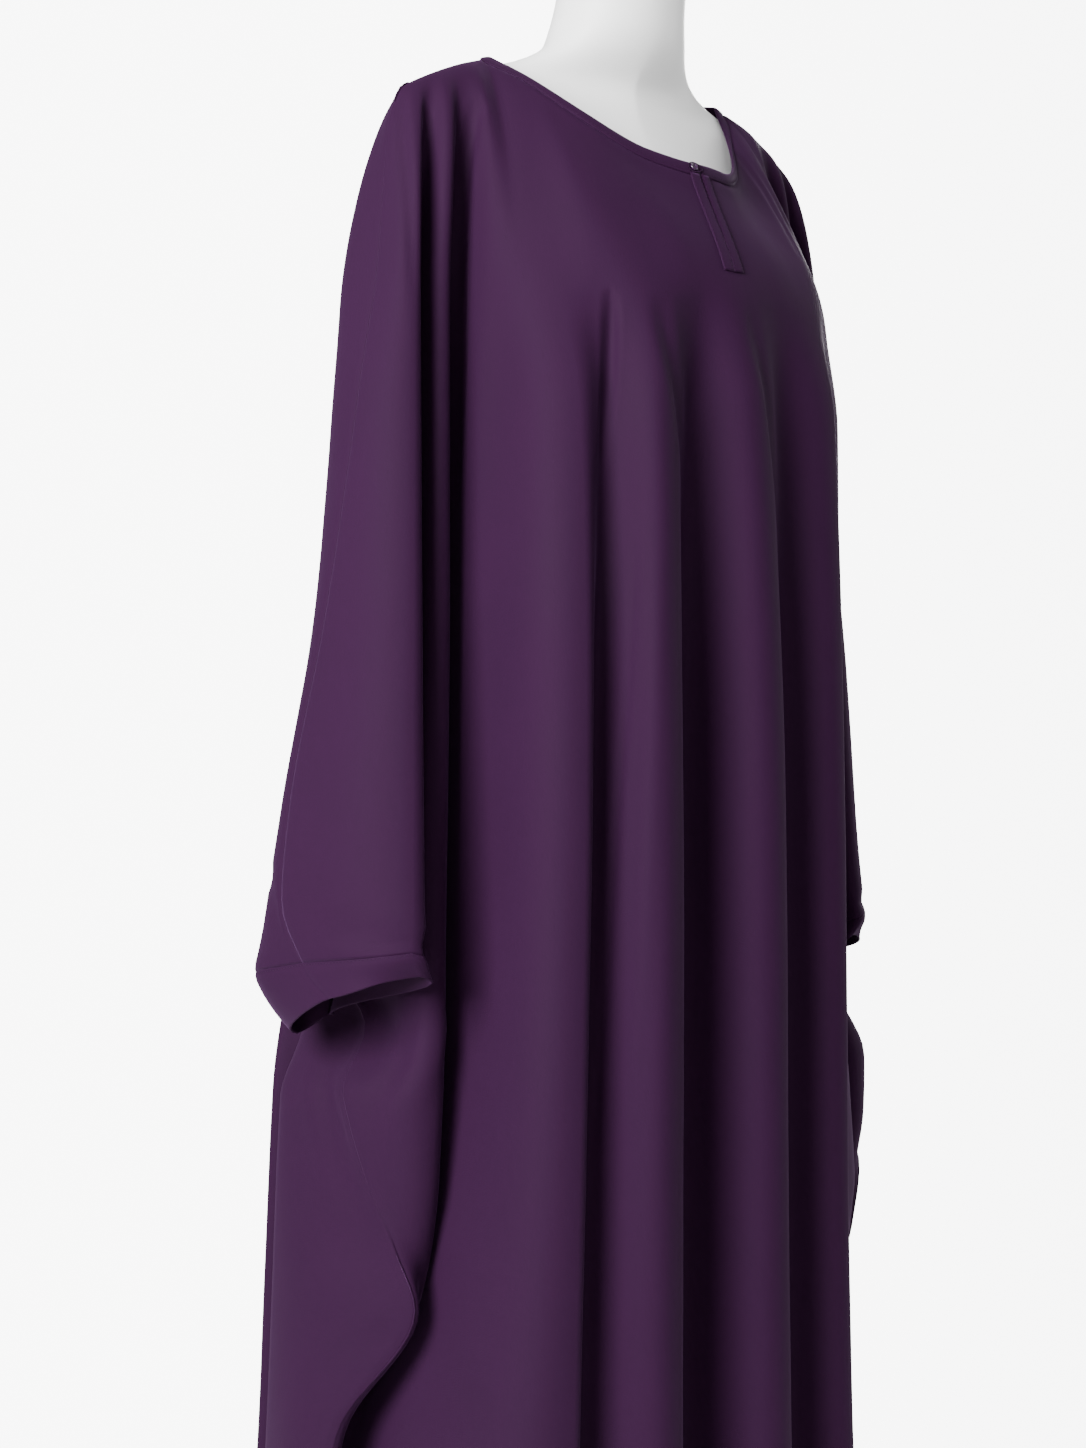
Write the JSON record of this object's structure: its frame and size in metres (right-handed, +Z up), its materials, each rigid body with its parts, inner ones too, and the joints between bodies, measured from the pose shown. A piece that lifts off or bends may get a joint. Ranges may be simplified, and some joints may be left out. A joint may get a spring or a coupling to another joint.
{
  "type": "butterfly abaya on a limbless dress form",
  "caption": "Plain plum crepe abaya with wide batwing sleeves and a buttoned neck slit, hanging in folds on a white dress form with a round base.",
  "frame": {"origin": "on the flat underside of the stand's base, 9 mm to the wearer's left of its middle and 10 mm in front of it", "axes": "+Z up, the front of the garment faces -Y, the wearer's right is -X"},
  "size_m": [0.541, 0.4237, 1.52],
  "materials": {
    "plum_crepe": "soft matt crepe with a faint satin sheen",
    "plum_thread": "twisted thread",
    "button_shell": "polished",
    "form_white": "smooth eggshell white",
    "stand_steel": "satin"
  },
  "bodies": {
    "root": {"front": "plum_crepe", "back": "plum_crepe", "neck_binding": "plum_crepe", "placket_right": "plum_crepe", "placket_left": "plum_crepe", "cuff_right": "plum_crepe", "cuff_left": "plum_crepe", "button": "button_shell", "button_loop": "plum_thread", "form_torso": "form_white", "form_pole": "stand_steel", "form_base": "stand_steel"}
  },
  "joints": []
}
